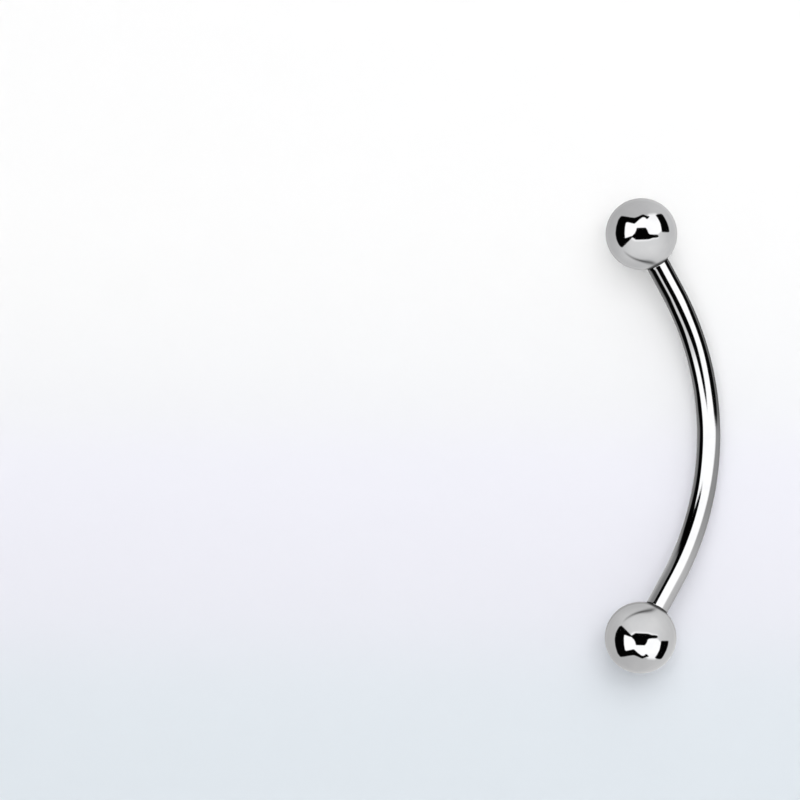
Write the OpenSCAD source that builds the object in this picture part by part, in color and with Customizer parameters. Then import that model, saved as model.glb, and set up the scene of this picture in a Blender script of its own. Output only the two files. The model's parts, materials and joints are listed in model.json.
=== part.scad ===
// Curved barbell for a piercing: a bent round bar with a threaded ball on each end.
// It lies on a flat surface as it comes to rest by itself, on both balls and the middle of the bar.
// Z is up and the surface is z = 0. Y runs from ball to ball, and X points to the bulge of the bend.
// The origin is on the surface, under the middle of the barbell's box.

/* [Balls] */
// Diameter of each ball
ball_d = 5; // [3:0.5:8]
// Width of the ball's flat seat outside the bar
seat_margin = 0.06; // [0.02:0.01:0.1]
// Depth of the drilled hole past the end of the stud
bore_spare = 0.4; // [0.1:0.05:0.5]

/* [Bar] */
// Diameter of the bar, here 14 gauge
bar_d = 1.63; // [1.2:0.01:2]
// Radius of the bend, at the bar's centre line
bend_r = 20; // [12:0.5:40]
// Angle that the whole bend turns through
bend_angle = 60; // [20:1:90]
// Straight run at each end, from the ball's seat to the bend
straight_l = 2.35; // [0.5:0.05:6]
// Broken edge where the bar meets the ball
shoulder_break = 0.08; // [0.02:0.01:0.1]

/* [Studs] */
// Width of the shoulder from the stud to the bar's side
shoulder_w = 0.215; // [0.19:0.005:0.25]
// Length of the stud in ball diameters
stud_ratio = 0.52; // [0.3:0.01:0.6]
// Broken edge at the stud's tip
tip_break = 0.15; // [0.05:0.01:0.2]

/* [Fit] */
// Clearance round each stud in its hole
bore_clearance = 0.03; // [0.01:0.01:0.05]
// Gap between the ball's seat and the bar's shoulder
seat_gap = 0.02; // [0:0.01:0.05]

/* [Hidden] */
$fn = 128;

ball_r = ball_d / 2;
bar_r = bar_d / 2;
stud_r = bar_r - shoulder_w;
stud_l = stud_ratio * ball_d;

bore_r = stud_r + bore_clearance;
mouth_break = 0.04;
drill_point_angle = 118;
drill_point_h = bore_r / tan(drill_point_angle / 2);

// The ball's flat seat is a slice off the sphere, a little wider than the bar
seat_r = bar_r + seat_margin;
seat_dist = sqrt(ball_r * ball_r - seat_r * seat_r);
bore_end = -seat_dist + stud_l + bore_spare;

// The bend from end to end, in its own plane
half_bend = bend_angle / 2;
bend_lap = 1;
ball_to_bend = seat_dist + seat_gap + straight_l;
half_chord = bend_r * sin(half_bend) + ball_to_bend * cos(half_bend);
bulge = bend_r * (1 - cos(half_bend)) + ball_to_bend * sin(half_bend);

// The bend's plane leans until the balls and the middle of the bar all touch the surface
rest_tilt = asin(min(1, (ball_r - bar_r) / bulge));
ball_x = (ball_r - bar_r - bulge * cos(rest_tilt)) / 2;

// Turns the bend's own plane, with x to the bulge and y along the balls, to where it lies
module at_rest() {
    translate([ball_x, 0, ball_r])
        rotate([0, rest_tilt, 0])
            children();
}

// Side 1 is the end at +Y and side -1 the end at -Y
module on_side(side) {
    rotate([side > 0 ? 0 : 180, 0, 0])
        children();
}

// One end of the bar as a turned piece: straight run, shoulder and stud, from the bend outwards
module bar_end() {
    stud_end = straight_l + stud_l;
    rotate_extrude()
        polygon([
            [0, 0],
            [bar_r, 0],
            [bar_r, straight_l - shoulder_break],
            [bar_r - shoulder_break, straight_l],
            [stud_r, straight_l],
            [stud_r, stud_end - tip_break],
            [stud_r - tip_break, stud_end],
            [0, stud_end]
        ]);
}

// One half of the bar, round the bend's centre: its bend starts a little past the middle, where
// the halves run into each other
module bar_half() {
    sweep = half_bend + bend_lap;
    rotate([0, 0, half_bend]) {
        rotate_extrude(angle = sweep, start = -sweep)
            translate([bend_r, 0])
                circle(r = bar_r);
        translate([bend_r, 0, 0])
            rotate([-90, 0, 0])
                bar_end();
    }
}

module bar() {
    color("silver")
        at_rest()
            translate([bulge - bend_r, 0, 0])
                for (side = [1, -1])
                    on_side(side)
                        bar_half();
}

// What is cut from a ball: the slice below its seat, and the drilled hole with its broken mouth
module seat_and_bore() {
    rotate_extrude()
        polygon([
            [0, -ball_d],
            [ball_d, -ball_d],
            [ball_d, -seat_dist],
            [bore_r + mouth_break, -seat_dist],
            [bore_r, -seat_dist + mouth_break],
            [bore_r, bore_end],
            [0, bore_end + drill_point_h]
        ]);
}

module ball(side) {
    color("gainsboro")
        at_rest()
            on_side(side)
                translate([0, half_chord, 0])
                    rotate([-90, 0, half_bend])
                        difference() {
                            sphere(r = ball_r);
                            seat_and_bore();
                        }
}

module ball_upper() {
    ball(1);
}

module ball_lower() {
    ball(-1);
}

bar();
ball_upper();
ball_lower();
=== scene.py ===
import json
from math import acos, cos, pi, radians, sin, sqrt

import bpy
import numpy as np
from mathutils import Matrix, Vector


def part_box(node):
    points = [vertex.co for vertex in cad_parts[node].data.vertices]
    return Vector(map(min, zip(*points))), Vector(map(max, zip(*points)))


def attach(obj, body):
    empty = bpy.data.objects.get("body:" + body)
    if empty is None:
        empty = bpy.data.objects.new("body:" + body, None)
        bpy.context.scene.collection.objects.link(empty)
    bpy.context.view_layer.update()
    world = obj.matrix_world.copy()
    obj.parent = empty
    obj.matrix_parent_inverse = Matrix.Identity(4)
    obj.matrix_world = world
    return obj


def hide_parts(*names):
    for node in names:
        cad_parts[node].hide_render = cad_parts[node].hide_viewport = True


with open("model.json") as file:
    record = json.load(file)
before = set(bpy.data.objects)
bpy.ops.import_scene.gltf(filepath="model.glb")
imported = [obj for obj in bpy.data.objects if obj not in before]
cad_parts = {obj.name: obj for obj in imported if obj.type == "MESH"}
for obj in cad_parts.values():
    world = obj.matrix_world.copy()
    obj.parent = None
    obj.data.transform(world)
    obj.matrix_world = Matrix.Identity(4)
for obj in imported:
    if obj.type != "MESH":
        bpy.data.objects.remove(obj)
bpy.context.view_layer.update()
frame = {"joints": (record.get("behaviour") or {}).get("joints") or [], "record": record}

MM = 0.001

# Sizes that the solids share
BALL_R = 2.5 * MM
SEAT_MARGIN = 0.06 * MM
SEAT_GAP = 0.02 * MM
SHOULDER_BREAK = 0.08 * MM
STUD_L = 2.6 * MM
STUD_R = 0.6 * MM
TIP_BREAK = 0.15 * MM
BORE_R = 0.63 * MM
BORE_SPARE = 0.4 * MM
DRILL_SLOPE = 0.6

# Threads, M1.2 with a pitch of a quarter of a millimetre
PITCH = 0.25 * MM
ROOT_R = 0.48 * MM
NECK_L = 0.22 * MM
GROOVE_R = 0.7 * MM
CREST_FLAT = 1 / 8
ROOT_FLAT = 1 / 4

# Small edges and fillets of the dressed pieces
NECK_FILLET = 0.05 * MM
SEAT_ROUND = 0.045 * MM
MOUTH_BREAK = 0.1 * MM

# The reference picture, in pixels of its frame
PICTURE_SIDE = 800
PICTURE_BALL_UPPER = (640.9, 233.5)
PICTURE_BALL_LOWER = (640.1, 637.05)


# Directions, rings and ramps

def unit(vector):
    """The vector at length 1."""
    return vector / np.linalg.norm(vector)


def along_and_across(direction, towards):
    """Two unit vectors square to a direction, the first as near as it gets to another vector."""
    first = unit(towards - (towards @ direction) * direction)
    return first, np.cross(direction, first)


def ring_angles(sides):
    return np.arange(sides) * 2 * pi / sides


def spokes(angle, first, second):
    """Directions at angles from first, which may be one for each ring, towards second."""
    return np.cos(angle)[:, None] * first[..., None, :] + np.sin(angle)[:, None] * second


def ramp(value, low, high):
    """0 up to one value, 1 from another on, and straight between them."""
    return np.clip((value - low) / (high - low), 0, 1)


# Where the pieces lie, read from the frame
mount = frame["record"]["mounts"][0]
bar_r = mount["dims"]["r_mm"] * MM
bar_middle = np.array(mount["pos_m"])
ball_axis = {joint["child"]: unit(np.array(joint["axis"])) for joint in frame["joints"]}
ball_centre = {name: np.array(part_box(name)).mean(axis=0) for name in ball_axis}

# The bend from end to end, in its own plane
chord_middle = (ball_centre["ball_upper"] + ball_centre["ball_lower"]) / 2
chord = ball_centre["ball_upper"] - ball_centre["ball_lower"]
forward_0 = unit(chord)
outward = unit(bar_middle - chord_middle)
bend_face = np.cross(outward, forward_0)
half_chord = np.linalg.norm(chord) / 2
bulge = np.linalg.norm(bar_middle - chord_middle)
half_bend = acos(ball_axis["ball_upper"] @ forward_0)
bend_r = (half_chord * sin(half_bend) - bulge * cos(half_bend)) / (1 - cos(half_bend))
ball_to_bend = (half_chord - bend_r * sin(half_bend)) / cos(half_bend)
bend_centre = bar_middle - bend_r * outward

seat_r = bar_r + SEAT_MARGIN
seat_dist = sqrt(BALL_R ** 2 - seat_r ** 2)
shoulder_at = bend_r * half_bend + ball_to_bend - seat_dist - SEAT_GAP


def bend_frame(turn):
    """At turns from the bend's middle, the directions out from its centre and along the bar."""
    turn = turn[:, None]
    radial = np.cos(turn) * outward + np.sin(turn) * forward_0
    return radial, np.cos(turn) * forward_0 - np.sin(turn) * outward


def add_object(name, data):
    """A new object in the scene."""
    item = bpy.data.objects.new(name, data)
    bpy.context.scene.collection.objects.link(item)
    return item


# Camera

LENS = 1000
SENSOR = 36
CAMERA_CLIP = (0.01, 3)


def camera_layout():
    """The camera's place and its right and up directions, straight above the picture's middle."""
    upper, lower = np.array(PICTURE_BALL_UPPER), np.array(PICTURE_BALL_LOWER)
    lean = upper - lower
    picture_chord = np.linalg.norm(lean)
    scale = np.linalg.norm(chord[:2]) / picture_chord
    tilt = lean[0] / picture_chord
    right = np.array([sqrt(1 - tilt ** 2), tilt, 0])
    up = np.array([-tilt, sqrt(1 - tilt ** 2), 0])
    offset = (upper + lower) / 2 - (PICTURE_SIDE - 1) / 2
    middle = chord_middle - offset[0] * scale * right + offset[1] * scale * up
    height = PICTURE_SIDE * scale * LENS / SENSOR
    return middle + np.array([0, 0, height]), right, up


camera_at, camera_right, camera_up = camera_layout()


def add_camera():
    data = bpy.data.cameras.new("camera")
    data.lens = LENS
    data.sensor_width = SENSOR
    data.clip_start, data.clip_end = CAMERA_CLIP
    camera = add_object("camera", data)
    turn = Matrix([camera_right, camera_up, np.cross(camera_right, camera_up)]).transposed()
    camera.matrix_world = Matrix.Translation(Vector(camera_at)) @ turn.to_4x4()
    bpy.context.scene.camera = camera


def to_camera(point):
    """The direction from a point to the camera."""
    return unit(camera_at - point)


# Meshes

BAR_SIDES = 96
BEND_ROWS = 150
STRAIGHT_ROWS = 14
BREAK_ROWS = 8
NECK_ROWS = 4
BALL_SIDES = 160
BALL_ROWS = 110
ROWS_A_TURN = 14
SHARP_ANGLE = 38
# Any share of a thread above 0 marks a row as cut
LEAST_SHARE = 0.001


def skin_faces(rings, around):
    """Faces of a closed skin over rings of points, where the points of its two tips come last."""
    here = np.arange(around)
    after = np.roll(here, -1)
    faces = []
    for ring in range(rings - 1):
        a, b = ring * around, (ring + 1) * around
        faces += np.stack([a + here, a + after, b + after, b + here], axis=1).tolist()
    last = (rings - 1) * around
    start_tip, end_tip = rings * around, rings * around + 1
    faces += [(int(after[k]), int(here[k]), start_tip) for k in range(around)]
    faces += [(last + int(here[k]), last + int(after[k]), end_tip) for k in range(around)]
    return faces


def skin_mesh(name, along, radius, line, spoke, tips, cut_rows):
    """A closed skin of rings. Each ring has a place along the straightened piece, a centre on the line
    and a radius for each spoke, and each tip a place and a point. Rows flagged in cut_rows take the
    second material. The finish attribute is a point's place on the straightened piece in millimetres."""
    count, around = radius.shape
    angle = ring_angles(around)
    rings = line[:, None] + radius[..., None] * spoke
    points = np.concatenate([rings.reshape(-1, 3), [point for _, point in tips]])
    unbent = np.stack([along[:, None] + 0 * angle, radius * np.cos(angle), radius * np.sin(angle)], axis=-1)
    finish = np.concatenate([unbent.reshape(-1, 3), [(place, 0, 0) for place, _ in tips]]) / MM
    slots = np.repeat([*cut_rows[:-1], cut_rows[0], cut_rows[-1]], around)
    mesh = bpy.data.meshes.new(name)
    mesh.from_pydata(points.tolist(), [], skin_faces(count, around))
    mesh.polygons.foreach_set("material_index", slots.astype(np.int32))
    attribute = mesh.attributes.new("finish", "FLOAT_VECTOR", "POINT")
    attribute.data.foreach_set("vector", finish.astype(np.float32).ravel())
    mesh.update()
    return mesh


def add_piece(name, mesh, materials):
    """A piece from its mesh, smooth apart from its sharp edges, in place of the node of its name. The
    pieces don't show in each other."""
    for material in materials:
        mesh.materials.append(material)
    mesh.shade_smooth()
    mesh.set_sharp_from_angle(angle=radians(SHARP_ANGLE))
    piece = add_object(name + "_polished", mesh)
    piece.visible_glossy = False
    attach(piece, name)
    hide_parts(name)


def ridge(turns):
    """Height of a thread from 0 at its root to 1 at its crest, over turns of the helix."""
    off_crest = np.abs((turns + 0.5) % 1 - 0.5)
    return 1 - ramp(off_crest, CREST_FLAT / 2, 0.5 - ROOT_FLAT / 2)


def bar_end_rows():
    """Rows of (distance past the shoulder, radius, share of a thread), from the bar's side to the tip."""
    rows = []
    for quarter in np.linspace(0, pi / 2, BREAK_ROWS):
        rows.append((SHOULDER_BREAK * (sin(quarter) - 1), bar_r + SHOULDER_BREAK * (cos(quarter) - 1), 0))
    for quarter in np.linspace(0, pi / 2, NECK_ROWS):
        rows.append((NECK_FILLET * (1 - cos(quarter)), ROOT_R + NECK_FILLET * (1 - sin(quarter)), 0))
    thread_l = STUD_L - NECK_L
    for along in np.linspace(0, thread_l, int(ROWS_A_TURN * thread_l / PITCH)):
        rows.append((NECK_L + along, ROOT_R, min(1, along / (PITCH / 2))))
    return np.array(rows)


def bar_rows():
    """Distance along the centre line, radius and thread share of every ring, from tip to tip."""
    end = bar_end_rows() + [shoulder_at, 0, 0]
    bend_end = bend_r * half_bend
    straight = np.linspace(bend_end, end[0][0], STRAIGHT_ROWS, endpoint=False)
    half = [(s, bar_r, 0) for s in straight] + end.tolist()
    bend = [(s, bar_r, 0) for s in np.linspace(-bend_end, bend_end, BEND_ROWS)[1:-1]]
    other_half = [(-s, r, share) for s, r, share in reversed(half)]
    return np.array(other_half + bend + half)


def bar_mesh():
    along, radius, share = bar_rows().T
    angle = ring_angles(BAR_SIDES)
    tip_cone = STUD_R - np.maximum(0, np.abs(along) - shoulder_at - STUD_L + TIP_BREAK)
    helix = along[:, None] / PITCH + angle / (2 * pi)
    thread = ROOT_R + (STUD_R - ROOT_R) * share[:, None] * ridge(helix)
    radius = np.where(share[:, None] > 0, np.minimum(thread, tip_cone[:, None]), radius[:, None])
    turn = np.clip(along / bend_r, -half_bend, half_bend)
    radial, forward = bend_frame(turn)
    line = bend_centre + bend_r * radial + (along - turn * bend_r)[:, None] * forward
    tips = [(along[0], line[0]), (along[-1], line[-1])]
    cut = np.abs(along) > shoulder_at + NECK_FILLET / 2
    return skin_mesh("bar", along, radius, line, spokes(angle, radial, bend_face), tips, cut)


def ball_rows():
    """Rows of (distance from the ball's centre along its hole, radius, thread share), from the pole
    opposite the hole, over the ball and its seat, to the bottom of the hole."""
    round_out = sqrt((BALL_R - SEAT_ROUND) ** 2 - (seat_dist - SEAT_ROUND) ** 2)
    round_from = acos((seat_dist - SEAT_ROUND) / (BALL_R - SEAT_ROUND))
    rows = []
    for turn in np.linspace(pi, round_from, BALL_ROWS, endpoint=False)[1:]:
        rows.append((BALL_R * cos(turn), BALL_R * sin(turn), 0))
    for turn in np.linspace(round_from, 0, BREAK_ROWS):
        ahead = seat_dist - SEAT_ROUND * (1 - cos(turn))
        rows.append((ahead, round_out + SEAT_ROUND * sin(turn), 0))
    rows.append((seat_dist, BORE_R + MOUTH_BREAK, 0))
    bore_l = STUD_L + BORE_SPARE
    for along in np.linspace(MOUTH_BREAK, bore_l, int(ROWS_A_TURN * (bore_l - MOUTH_BREAK) / PITCH)):
        rows.append((seat_dist - along, BORE_R, min(1, (along - MOUTH_BREAK) / PITCH + LEAST_SHARE)))
    return np.array(rows)


def ball_mesh(name):
    centre, inward = ball_centre[name], -ball_axis[name]
    along, radius, share = ball_rows().T
    angle = ring_angles(BALL_SIDES)
    helix = along[:, None] / PITCH - angle / (2 * pi)
    radius = radius[:, None] + (GROOVE_R - BORE_R) * share[:, None] * ridge(helix)
    line = centre + along[:, None] * inward
    drilled = along[-1] - DRILL_SLOPE * BORE_R
    tips = [(place, centre + place * inward) for place in (-BALL_R, drilled)]
    mouth = len(share) - np.sum(share > 0) - 1
    cut = np.arange(len(share)) >= mouth
    spoke = spokes(angle, *along_and_across(inward, bend_face))
    return skin_mesh(name, along, radius, line, spoke, tips, cut)


# Materials

class Nodes:
    """A short way to build the nodes of a material or a world."""

    def __init__(self, owner, output="ShaderNodeOutputMaterial"):
        self.owner = owner
        owner.use_nodes = True
        self.tree = owner.node_tree
        self.tree.nodes.clear()
        self.output = self.add(output)

    def add(self, kind, inputs=None, **settings):
        node = self.tree.nodes.new(kind)
        for key, value in settings.items():
            setattr(node, key, value)
        for key, value in (inputs or {}).items():
            if isinstance(value, bpy.types.NodeSocket):
                self.tree.links.new(value, node.inputs[key])
            else:
                node.inputs[key].default_value = value
        return node

    def show(self, shader):
        """Makes a shader the result, and gives back the material or world."""
        self.tree.links.new(shader.outputs[0], self.output.inputs[0])
        return self.owner

    def math(self, operation, *values):
        return self.add("ShaderNodeMath", dict(enumerate(values)), operation=operation).outputs[0]

    def finish_place(self, scale=(1, 1, 1)):
        """A point's place on the straightened piece in millimetres, times a scale for each axis."""
        place = self.add("ShaderNodeAttribute", attribute_name="finish")
        return self.add("ShaderNodeMapping", {"Vector": place.outputs["Vector"], "Scale": scale}).outputs[0]

    def noise(self, vector, scale, detail=2, roughness=0.5):
        inputs = {"Vector": vector, "Scale": scale, "Detail": detail, "Roughness": roughness}
        return self.add("ShaderNodeTexNoise", inputs).outputs["Fac"]

    def spread(self, value, from_low, from_high, to_low=0, to_high=1):
        """A value moved from one range to another and kept inside it."""
        inputs = {"Value": value, "From Min": from_low, "From Max": from_high}
        inputs |= {"To Min": to_low, "To Max": to_high}
        return self.add("ShaderNodeMapRange", inputs).outputs[0]

    def blend(self, share, first, second):
        """A mix of two colours."""
        node = self.add("ShaderNodeMix", {0: share, 6: first, 7: second}, data_type="RGBA")
        return node.outputs[2]


STEEL = (0.565, 0.565, 0.57, 1)
STEEL_DIM = (0.54, 0.542, 0.55, 1)
# Painted shade: a near-black colour laid on the edges at the bar's end and the ball's seat, for the shade
# in the seam between them
SEAM_SHADE_PAINT = (0.03, 0.03, 0.03, 1)
CUT_STEEL = (0.40, 0.395, 0.385, 1)
CUT_STEEL_DARK = (0.22, 0.215, 0.205, 1)

# Marks to the millimetre: along the piece and two ways across it, or the same all ways
BAR_LINES = (0.12, 26, 26)
BALL_LINES = (8, 8, 8)
TURNING_LINES = (60, 1.5, 1.5)
CLOUDS = 0.9
PITS = 14
STAINS = 3

POLISH_DEPTH = 0.0000006
POLISH_ROUGHNESS = (0.035, 0.06)
TURNING_DEPTH = 0.000004
CUT_ROUGHNESS = (0.22, 0.38)


def polished_steel(name, line_scale, shade_from, shade_to, two_ended):
    """Mirror-polished steel: faint cloudiness, pits, and polishing lines drawn out by the line scale.
    It carries painted shade at the seam between bar and ball: its colour is near black from one distance
    along it to another, both ways from its middle if it is two-ended."""
    n = Nodes(bpy.data.materials.new(name))
    clouds = n.noise(n.finish_place(), CLOUDS, 3)
    lines = n.noise(n.finish_place(line_scale), 1, 4, 0.6)
    pits = n.noise(n.finish_place(), PITS)
    height = n.math("ADD", n.spread(lines, 0.3, 0.7), n.spread(pits, 0.3, 0.75))
    bump = n.add("ShaderNodeBump", {"Strength": 0.25, "Distance": POLISH_DEPTH, "Height": height})
    base = n.blend(n.spread(clouds, 0.35, 0.65), STEEL_DIM, STEEL)
    along = n.add("ShaderNodeSeparateXYZ", {0: n.finish_place()}).outputs[0]
    if two_ended:
        along = n.math("ABSOLUTE", along)
    return n.show(n.add("ShaderNodeBsdfPrincipled", {
        # Painted shade: near black in the seam at the bar's end and the ball's seat
        "Base Color": n.blend(n.spread(along, shade_from, shade_to), base, SEAM_SHADE_PAINT),
        "Metallic": 1,
        "Roughness": n.spread(clouds, 0.3, 0.7, *POLISH_ROUGHNESS),
        "Normal": bump.outputs[0],
    }))


def cut_steel(name):
    """Threads and drilled holes as the tool left them: duller, with fine turning marks."""
    n = Nodes(bpy.data.materials.new(name))
    turning = n.noise(n.finish_place(TURNING_LINES), 1, 3)
    stain = n.noise(n.finish_place(), STAINS, 3)
    bump = n.add("ShaderNodeBump", {"Strength": 0.4, "Distance": TURNING_DEPTH, "Height": turning})
    return n.show(n.add("ShaderNodeBsdfPrincipled", {
        "Base Color": n.blend(n.spread(stain, 0.35, 0.7), CUT_STEEL, CUT_STEEL_DARK),
        "Metallic": 1,
        "Roughness": n.spread(turning, 0.3, 0.7, *CUT_ROUGHNESS),
        "Normal": bump.outputs[0],
    }))


# Studio floor and lights

FLOOR_HALF = 1.5
# Distance up the picture from the barbell's middle, and the floor's colour there
FLOOR_TONES = [
    (-0.0248, (0.776, 0.831, 0.881)),
    (-0.0175, (0.793, 0.847, 0.896)),
    (-0.0125, (0.862, 0.865, 0.931)),
    (-0.0060, (0.893, 0.894, 0.964)),
    (-0.0015, (0.915, 0.916, 0.985)),
    (0.0015, (0.930, 0.937, 0.962)),
    (0.0050, (0.957, 0.964, 0.980)),
    (0.0100, (0.983, 0.985, 0.989)),
    (0.0160, (1.003, 1.003, 1.003)),
]
# How much brighter than its colour the floor is lit
FLOOR_LIGHT = 1.1


def floor_material():
    """A pale matt sheet, white at the top of the picture and a cool pale grey at its foot."""
    n = Nodes(bpy.data.materials.new("floor"))
    place = n.add("ShaderNodeTexCoord").outputs["Object"]
    up = n.add("ShaderNodeVectorMath", {0: place, 1: camera_up.tolist()}, operation="DOT_PRODUCT")
    low, high = FLOOR_TONES[0][0], FLOOR_TONES[-1][0]
    tones = n.add("ShaderNodeValToRGB", {"Fac": n.spread(up.outputs["Value"], low, high)})
    tones.color_ramp.interpolation = "B_SPLINE"
    stops = tones.color_ramp.elements
    for k, (height, tone) in enumerate(FLOOR_TONES):
        at = (height - low) / (high - low)
        stop = stops.new(at) if 0 < k < len(FLOOR_TONES) - 1 else stops[0 if k == 0 else -1]
        stop.position = at
        stop.color = [part / FLOOR_LIGHT for part in tone] + [1]
    return n.show(n.add("ShaderNodeBsdfDiffuse", {"Color": tones.outputs[0]}))


def add_floor():
    corners = [(x * FLOOR_HALF, y * FLOOR_HALF, 0) for x, y in ((-1, -1), (1, -1), (1, 1), (-1, 1))]
    mesh = bpy.data.meshes.new("floor")
    mesh.from_pydata(corners, [], [(0, 1, 2, 3)])
    mesh.materials.append(floor_material())
    floor = add_object("floor", mesh)
    floor.visible_glossy = False


WORLD_PALE = (0.93, 0.94, 0.96, 1)
WORLD_WHITE = (1, 1, 1, 1)
WORLD_DARK = (0, 0, 0, 1)
WORLD_FILL = 0.0695


def add_world():
    """Pale for the camera and soft light for the floor. The mirrors see the tents in its place."""
    n = Nodes(bpy.data.worlds.new("studio"), "ShaderNodeOutputWorld")
    path = n.add("ShaderNodeLightPath").outputs
    seen = n.add("ShaderNodeBackground", {"Color": WORLD_PALE}).outputs[0]
    fill = n.add("ShaderNodeBackground", {"Color": WORLD_WHITE, "Strength": WORLD_FILL}).outputs[0]
    dark = n.add("ShaderNodeBackground", {"Color": WORLD_DARK}).outputs[0]
    by_camera = n.add("ShaderNodeMixShader", {0: path["Is Camera Ray"], 1: fill, 2: seen}).outputs[0]
    by_mirror = n.add("ShaderNodeMixShader", {0: path["Is Glossy Ray"], 1: by_camera, 2: dark})
    bpy.context.scene.world = n.show(by_mirror)


def piece_collection(name, pieces):
    """Dressed pieces as a collection for a light's links."""
    collection = bpy.data.collections.new(name)
    for piece in pieces:
        collection.objects.link(bpy.data.objects[piece + "_polished"])
    return collection


SOFTBOX_DISTANCE = 0.8
# Each softbox: its lean from straight above, half its width as a slope, its power, and what shades it
SOFTBOXES = [
    ("softbox_balls", (0.12, 0.30), 0.45, 2.50, ("ball_upper", "ball_lower")),
    ("softbox_ball_lower", (0.12, 0.30), 0.45, 0.49, ("ball_lower",)),
    ("softbox_top", (0.25, 0.80), 0.45, 1.06, ("ball_lower", "bar")),
    ("softbox_bar", (-0.10, 0.20), 0.65, 4.29, ("bar",)),
    ("softbox_right", (1.80, 0.80), 0.65, 2.98, ("bar",)),
]


def add_softbox(name, lean, half_width, power, shades):
    """A square light that faces the barbell. It lights the floor, isn't seen in the mirrors, and
    only the pieces named in shades cast its shadow."""
    data = bpy.data.lights.new(name, "AREA")
    data.size = 2 * half_width * SOFTBOX_DISTANCE
    data.energy = power
    lamp = add_object(name, data)
    towards = Vector((*lean, 1)).normalized()
    place = Vector(chord_middle) + towards * SOFTBOX_DISTANCE
    lamp.matrix_world = Matrix.Translation(place) @ towards.to_track_quat("Z", "Y").to_matrix().to_4x4()
    lamp.visible_camera = False
    lamp.visible_glossy = False
    lamp.light_linking.blocker_collection = piece_collection(name + "_shades", shades)


# Studio tents. Each mirror piece has one of its own, a far globe of soft light with dark flags on it,
# which shows only as that piece's reflection.

TENT_R = 1.0
TENT_ROWS = 150
TENT_SIDES = 240


def tent_material(name):
    """Light of the level that each point holds, and otherwise clear, so that rays pass on. It stays
    in the mirrors: none of it reaches the floor by way of a piece."""
    n = Nodes(bpy.data.materials.new(name))
    level = n.add("ShaderNodeAttribute", attribute_name="level").outputs["Fac"]
    bounces_off_floor = n.add("ShaderNodeLightPath").outputs["Diffuse Depth"]
    in_mirror = n.math("LESS_THAN", bounces_off_floor, 0.5)
    light = n.add("ShaderNodeEmission", {"Strength": n.math("MULTIPLY", level, in_mirror)})
    clear = n.add("ShaderNodeBsdfTransparent")
    n.owner.cycles.emission_sampling = "NONE"
    return n.show(n.add("ShaderNodeAddShader", {0: light.outputs[0], 1: clear.outputs[0]}))


def add_tent(name, receiver, centre, pole, level_of):
    """A globe round the centre whose every point is what one direction of the mirror's surface
    reflects to the camera. level_of gives the light for an array of such surface directions."""
    view = to_camera(centre)
    spoke = spokes(ring_angles(TENT_SIDES), *along_and_across(pole, camera_right))
    turned_away = np.arctan2(pole @ view, -(spoke @ view))
    lean = (np.arange(TENT_ROWS)[:, None] + 0.5) / TENT_ROWS * turned_away
    facing = np.cos(lean)[..., None] * pole + np.sin(lean)[..., None] * spoke
    facing = np.concatenate([facing.reshape(-1, 3), [pole]])
    sight = 2 * (facing @ view)[:, None] * facing - view
    level = level_of(facing)
    # The last point, straight behind the piece, takes the light of the ring next to it
    sight = np.concatenate([sight, [-view]])
    level = np.append(level, level[-2])
    mesh = bpy.data.meshes.new(name)
    mesh.from_pydata((centre + TENT_R * sight).tolist(), [], skin_faces(TENT_ROWS, TENT_SIDES))
    attribute = mesh.attributes.new("level", "FLOAT", "POINT")
    attribute.data.foreach_set("value", level.astype(np.float32))
    mesh.materials.append(tent_material(name))
    tent = add_object(name, mesh)
    tent.visible_camera = False
    tent.visible_diffuse = False
    tent.visible_shadow = False
    tent.light_linking.receiver_collection = piece_collection(name + "_receiver", [receiver])


# Cards of light, each an (outline, level, width of its soft edge)

WHITE = 1.8
GLOW = 1.7
PALE_GLOW = 1.6
DIM_WHITE = 1.1
BLACK = 0.002
CORNER_CUT = 0.12


def rounded(outline):
    """An outline with its corners cut twice, which rounds them."""
    corners = np.array(outline, float)
    for _ in range(2):
        after = np.roll(corners, -1, axis=0)
        near = corners + CORNER_CUT * (after - corners)
        far = after - CORNER_CUT * (after - corners)
        corners = np.stack([near, far], axis=1).reshape(-1, 2)
    return corners


def soft_fill(points, corners, edge, grow):
    """1 inside an outline grown by a margin and 0 outside it, with a soft edge of that width."""
    inside = np.zeros(len(points), bool)
    nearest = np.full(len(points), np.inf)
    for a, b in zip(corners, np.roll(corners, -1, axis=0)):
        side = b - a
        share = np.clip((points - a) @ side / max(side @ side, 1e-12), 0, 1)
        nearest = np.minimum(nearest, np.linalg.norm(points - a - share[:, None] * side, axis=1))
        crosses = (a[1] > points[:, 1]) != (b[1] > points[:, 1])
        rise = side[1] if side[1] else 1e-12
        left_of = points[:, 0] < a[0] + (points[:, 1] - a[1]) * side[0] / rise
        inside ^= crosses & left_of
    signed = np.where(inside, nearest, -nearest)
    share = np.clip(0.5 + (signed + grow) / edge, 0, 1)
    return share * share * (3 - 2 * share)


def paint(points, level, cards, dark_spread):
    """Lays cards over the level, the last one on top. Black cards reach a little past their outline,
    as their edges look paler than they are."""
    for outline, card_level, edge in cards:
        grow = dark_spread if card_level == BLACK else 0
        share = soft_fill(points, rounded(outline), edge, grow)
        level = level * (1 - share) + card_level * share
    return level


# What a ball shows, as outlines in its own picture: p right and q up from its middle, in ball radii

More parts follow.
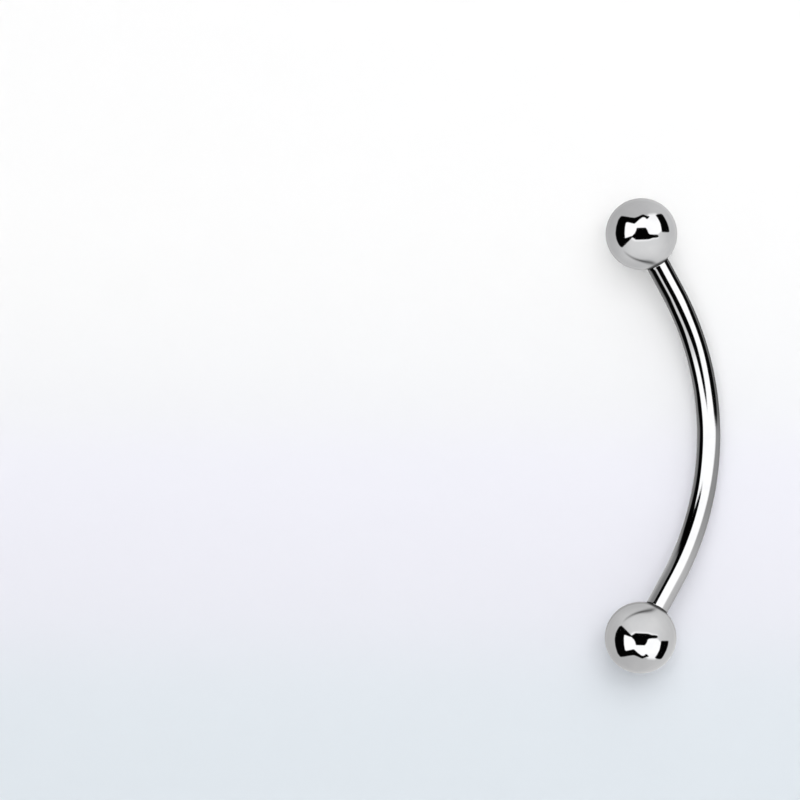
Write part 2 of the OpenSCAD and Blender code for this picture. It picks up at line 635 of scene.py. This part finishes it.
WINDOW = [
    (-0.49, -0.12), (-0.40, -0.12), (-0.25, -0.05), (-0.1, -0.05), (0.24, -0.01), (0.48, 0.0),
    (0.56, 0.09), (0.58, 0.16), (0.55, 0.30), (0.47, 0.45), (0.42, 0.52), (0.2, 0.52), (0.1, 0.5),
    (0.0, 0.5), (-0.19, 0.33), (-0.287, 0.35), (-0.42, 0.36), (-0.5, 0.30),
]
WINDOW_GLOW = [(0.17, 0.40), (0.19, 0.55), (0.41, 0.57), (0.46, 0.40)]
LEFT_FLAG = [
    (-0.56, 0.50), (-0.64, 0.40), (-0.70, 0.20), (-0.72, 0.01), (-0.69, -0.16), (-0.64, -0.27),
    (-0.59, -0.345), (-0.535, -0.37), (-0.49, -0.33), (-0.40, -0.24), (-0.32, -0.16), (-0.255, -0.09),
    (-0.28, -0.06), (-0.40, -0.105), (-0.46, -0.12), (-0.47, 0.0), (-0.463, 0.16), (-0.44, 0.30),
    (-0.407, 0.335), (-0.287, 0.311), (-0.19, 0.287), (-0.08, 0.39), (0.03, 0.47), (0.097, 0.47),
    (0.145, 0.423), (0.177, 0.43), (0.225, 0.49), (0.145, 0.503), (0.05, 0.543), (0.0, 0.527),
    (-0.095, 0.48), (-0.19, 0.447), (-0.32, 0.463), (-0.447, 0.487),
]
RIGHT_FLAG = [
    (0.40, 0.52), (0.457, 0.447), (0.53, 0.303), (0.56, 0.16), (0.577, 0.055), (0.777, 0.055),
    (0.76, 0.175), (0.72, 0.303), (0.657, 0.43), (0.593, 0.535), (0.545, 0.56), (0.457, 0.55),
]
HOOD = [
    (-0.28, -0.075), (-0.20, -0.12), (-0.15, -0.16), (0.20, -0.145), (0.32, -0.105), (0.44, -0.097),
    (0.48, -0.065), (0.457, -0.03), (0.24, -0.014), (0.20, 0.015), (0.17, 0.095), (0.12, 0.175),
    (-0.127, 0.167), (-0.143, 0.095), (-0.183, 0.015), (-0.255, -0.057),
]
# The lit edge under the hood
HOOD_RIM = [
    (-0.31, -0.09), (-0.26, -0.16), (-0.17, -0.205), (0.2, -0.19), (0.34, -0.14), (0.47, -0.125),
    (0.47, -0.06), (-0.2, -0.06),
]
CARD_EDGE = 0.02
BALL_CARDS = [
    (HOOD_RIM, PALE_GLOW, 0.07),
    (WINDOW, WHITE, CARD_EDGE),
    (WINDOW_GLOW, GLOW, 0.1),
    (LEFT_FLAG, BLACK, CARD_EDGE),
    (RIGHT_FLAG, BLACK, CARD_EDGE),
    (HOOD, BLACK, CARD_EDGE),
]
BALL_DARK_SPREAD = 0.006

# The tent's own light in a ball's picture, what it gains to the right, to the upper right and in a
# glow below the middle, and what it loses at the limb and at the very edge
BALL_LIGHT = 0.83
GAIN_RIGHT = 0.08
GAIN_UPPER_RIGHT = 0.1
GAIN_BELOW = 0.33
BELOW_MIDDLE = (0.05, -0.22)
BELOW_REACH = (0.6, 0.5)
LOSS_AT_LIMB = 0.08
LOSS_AT_EDGE = 0.28

# The dark line where the tent's foot meets the floor, and how deep and wide it is along p
FOOT_LINE = [
    (-0.6, -0.37), (-0.5, -0.475), (-0.4, -0.56), (-0.3, -0.632), (-0.2, -0.685), (-0.1, -0.722),
    (0.0, -0.75), (0.1, -0.767), (0.2, -0.785), (0.3, -0.81), (0.45, -0.85),
]
FOOT_DEPTH = [(-0.52, 0), (-0.4, 0.35), (-0.2, 0.60), (0.0, 0.84), (0.2, 0.76), (0.3, 0.72), (0.5, 0)]
FOOT_WIDTH = [(0, 0.036), (0.2, 0.056)]
foot_curve = np.polyfit(*zip(*FOOT_LINE), 4)

# The painted shade line that the camera sees in a ball at the bar's end: its depth, its place along the
# bar, its width and where it fades
SEAM_DEPTH = 0.8
SEAM_AT = 0.955
SEAM_WIDTH = 0.03
SEAM_REACH = (0.34, 0.39)

# Added to the height in the lower ball's picture
LOWER_LIFT = -0.04


def ball_level(p, q):
    """The tent's own light in a ball's picture: brightest below the middle, dimmer up and at the limb,
    and dark at the very edge, which shows the shaded floor under the ball."""
    reach = np.hypot(p, q)
    beside = (p - BELOW_MIDDLE[0]) / BELOW_REACH[0]
    above = (q - BELOW_MIDDLE[1]) / BELOW_REACH[1]
    level = BALL_LIGHT + GAIN_RIGHT * p + GAIN_UPPER_RIGHT * p * np.clip(q, 0, 1)
    level += GAIN_BELOW * np.exp(-beside ** 4 - above ** 4)
    level *= 1 - LOSS_AT_LIMB * ramp(reach, 0.86, 0.98) - LOSS_AT_EDGE * ramp(reach, 0.968, 0.998)
    return level * (1 - foot_line(p, q))


def foot_line(p, q):
    """Share of light lost in the dark line at the tent's foot, which fades to the left."""
    depth = np.interp(p, *zip(*FOOT_DEPTH))
    width = np.interp(p, *zip(*FOOT_WIDTH))
    return depth * np.exp(-((q - np.polyval(foot_curve, p)) / width) ** 2)


def tent_seam_shade(along, across):
    """Painted shade in the ball's reflection: the share of the tent's light taken out in a dark line that
    shows at the seam, from places along and across the bar there.
    """
    line = np.exp(-((along - SEAM_AT) / SEAM_WIDTH) ** 2)
    return SEAM_DEPTH * line * (1 - ramp(np.abs(across), *SEAM_REACH))


def ball_tent(name, flip, lift):
    """The tent of one ball, upside down where flip is -1, with its picture moved by the lift."""
    centre = ball_centre[name]
    view = to_camera(centre)
    right, _ = along_and_across(view, camera_right)
    up = np.cross(view, right)
    bar_right, bar_up = unit(np.array([-ball_axis[name] @ right, -ball_axis[name] @ up]))

    def level_of(facing):
        x, y = facing @ right, facing @ up
        p, q = x, flip * y + lift
        # Painted shade in the tent, which the camera sees in the ball along the seam at the bar's end
        seam = tent_seam_shade(bar_right * x + bar_up * y, bar_up * x - bar_right * y)
        level = ball_level(p, q) * (1 - seam)
        return paint(np.stack([p, q], axis=1), level, BALL_CARDS, BALL_DARK_SPREAD)

    add_tent("tent_" + name, name, centre, view, level_of)


# What the bar shows, as outlines along it: the turn of the bend there in degrees, from 30 at the upper
# end to -30 at the lower, and u, the distance right of its centre line in bar radii

LEFT_LINE = [
    (45, -0.70), (30, -0.70), (26.4, -0.80), (22, -0.80), (17.7, -0.79), (13.6, -0.79), (9.5, -0.75),
    (5.5, -0.79), (1.5, -0.71), (-2.5, -0.75), (-6.5, -0.73), (-10.6, -0.73), (-14.7, -0.78),
    (-18.9, -0.78), (-22.6, -0.69), (-24.2, -0.50), (-28, -0.44), (-45, -0.44), (-45, -0.25),
    (-28, -0.24), (-23.2, -0.22), (-18.9, -0.207), (-15.7, -0.19), (-15.3, -0.46), (-13.9, -0.48),
    (-10.6, -0.47), (-6.5, -0.49), (1.5, -0.485), (5.5, -0.51), (9.5, -0.53), (17.7, -0.53),
    (22, -0.48), (26.4, -0.51), (30, -0.42), (45, -0.40),
]
# A second line that runs into the left one
SIDE_LINE = [
    (-10.9, -0.20), (-11.6, -0.175), (-13, -0.18), (-15.8, -0.19), (-15.8, -0.47), (-14.7, -0.40),
    (-13.9, -0.365), (-13, -0.325), (-12.2, -0.295), (-11.4, -0.235),
]
MIDDLE_LINE = [
    (45, -0.23), (30, -0.23), (26.4, -0.265), (22, -0.235), (17.7, -0.17), (13.6, -0.155), (9.5, -0.13),
    (6.3, -0.03), (9.5, 0.04), (13.6, 0.07), (17.7, 0.13), (22, 0.10), (26.4, 0.08), (30, 0.11),
    (45, 0.17),
]
RIGHT_LINE = [
    (45, 0.65), (30, 0.62), (26.4, 0.55), (17.7, 0.555), (13.6, 0.51), (9.5, 0.49), (5.5, 0.52),
    (3.5, 0.58), (3.5, 0.74), (5.5, 0.78), (9.5, 0.79), (17.7, 0.80), (26.4, 0.80), (30, 0.83),
    (45, 0.85),
]
BROAD_WHITE = [
    (45, -0.5), (26, -0.6), (0, -0.6), (-14, -0.6), (-20, -0.40), (-45, -0.33), (-45, 0.40),
    (-27.6, 0.43), (-18.9, 0.45), (-10.6, 0.51), (-6.5, 0.535), (-2.5, 0.585), (1.5, 0.605), (6, 0.61),
    (26.4, 0.63), (45, 0.70),
]
# The white between the left and middle lines is dimmer towards the upper end
NARROW_WHITE = [(45, -0.5), (24, -0.5), (16, -0.5), (16, -0.1), (24, -0.16), (45, -0.2)]
WHITE_EDGE = 0.12
LINE_EDGE = 0.05
BAR_CARDS = [
    (BROAD_WHITE, WHITE, WHITE_EDGE),
    (NARROW_WHITE, DIM_WHITE, WHITE_EDGE),
    (LEFT_LINE, BLACK, LINE_EDGE),
    (SIDE_LINE, BLACK, LINE_EDGE),
    (MIDDLE_LINE, BLACK, LINE_EDGE),
    (RIGHT_LINE, BLACK, LINE_EDGE),
]
BAR_DARK_SPREAD = 0.022
# The turn in degrees that counts as one bar radius, so that soft edges are alike both ways
TURN_SCALE = 40

# Light of the bar's rims, and what it gains or loses towards its edge and its ends
LEFT_RIM = 0.22
LEFT_GAIN_AT_EDGE = 0.20
LEFT_GAIN_LOW = 0.13
LEFT_GAIN_LOW_EDGE = 0.2
RIGHT_RIM = 0.47
RIGHT_GAIN_LOW = 0.28
RIGHT_LOSS_HIGH = 0.2
RIGHT_LOSS_AT_EDGE = 0.32
# Light beside the white at the lower end
SPILL = 0.25
SPILL_AT = 0.42
SPILL_REACH = 0.12


def bar_level(turn, u):
    """The light of the bar's rims: the left one darkens inwards, the right one towards the upper end."""
    low_end = ramp(-turn, 18, 26)
    left = LEFT_RIM + LEFT_GAIN_AT_EDGE * ramp(-u, 0.75, 1)
    left += low_end * (LEFT_GAIN_LOW + LEFT_GAIN_LOW_EDGE * ramp(-u, 0.65, 0.90))
    right = RIGHT_RIM + RIGHT_GAIN_LOW * ramp(-turn, 14, 30) - RIGHT_LOSS_HIGH * ramp(turn, 0, 5)
    right *= 1 - RIGHT_LOSS_AT_EDGE * ramp(u, 0.82, 1)
    right += SPILL * ramp(-turn, 22, 30) * np.exp(-np.abs(u - SPILL_AT) / SPILL_REACH)
    return np.where(u < 0, left, right)


def bar_place(facing, view):
    """The turn of the bend in degrees, and u, where the bar's surface faces each direction."""
    out, ahead = facing @ outward, facing @ forward_0
    turn = np.arctan2(ahead * np.sign(out), np.abs(out))
    turn = np.clip(turn, -half_bend, half_bend)
    radial, forward = bend_frame(turn)
    right = np.cross(forward, view)
    right /= np.linalg.norm(right, axis=1)[:, None]
    lean = np.arctan2(np.sum(facing * radial, axis=1), facing @ bend_face)
    first = np.arcsin(np.clip(right @ bend_face, -1, 1))
    return np.degrees(turn), np.sin(np.clip(lean + first, -pi / 2, pi / 2))


def bar_tent():
    cards = [([(turn / TURN_SCALE, u) for turn, u in outline], level, edge)
             for outline, level, edge in BAR_CARDS]

    def level_of(facing):
        turn, u = bar_place(facing, to_camera(bar_middle))
        points = np.stack([turn / TURN_SCALE, u], axis=1)
        return paint(points, bar_level(turn, u), cards, BAR_DARK_SPREAD)

    add_tent("tent_bar", "bar", bar_middle, bend_face, level_of)


# Where the painted shade of the seam starts and where it is full, in millimetres before the shoulder or
# seat
BAR_SEAM_PAINTED_SHADE = (0.09, 0.02)
BALL_SEAM_PAINTED_SHADE = (0.12, 0.04)


def build():
    bar_seam_shade = [shoulder_at / MM - before for before in BAR_SEAM_PAINTED_SHADE]
    ball_seam_shade = [seat_dist / MM - before for before in BALL_SEAM_PAINTED_SHADE]
    bar_steel = polished_steel("polished_bar_steel", BAR_LINES, *bar_seam_shade, two_ended=True)
    ball_steel = polished_steel("polished_ball_steel", BALL_LINES, *ball_seam_shade, two_ended=False)
    threads = cut_steel("cut_steel")
    add_piece("bar", bar_mesh(), [bar_steel, threads])
    for name in ball_axis:
        add_piece(name, ball_mesh(name), [ball_steel, threads])
    add_floor()
    add_world()
    for softbox in SOFTBOXES:
        add_softbox(*softbox)
    ball_tent("ball_upper", 1, 0)
    ball_tent("ball_lower", -1, LOWER_LIFT)
    bar_tent()
    bpy.context.scene.view_settings.view_transform = "Standard"
    add_camera()


build()
